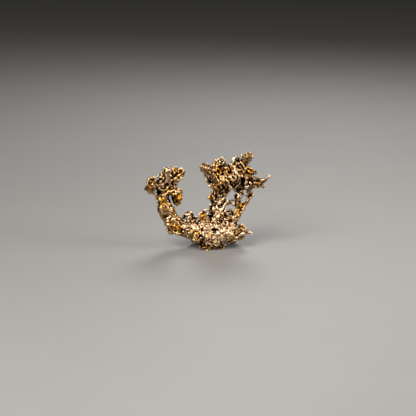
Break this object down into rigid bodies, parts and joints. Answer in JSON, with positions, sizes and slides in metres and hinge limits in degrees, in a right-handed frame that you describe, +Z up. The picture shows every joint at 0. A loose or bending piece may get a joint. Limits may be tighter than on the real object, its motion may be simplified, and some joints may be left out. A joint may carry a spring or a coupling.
{
  "type": "gold nugget",
  "caption": "Natural crystallised gold nugget, U-shaped with knobbly arms rising from one thick root; stands on its own as a display specimen.",
  "frame": {"origin": "under the middle of the nugget's box, on the surface it stands on", "axes": "+X across its longest side, towards the spike; +Y back, through its thinnest side; +Z up, out of the surface it stands on"},
  "size_m": [0.04, 0.0128, 0.0306],
  "materials": {
    "native_gold": "satin"
  },
  "bodies": {
    "root": {"nugget": "native_gold"}
  },
  "joints": []
}
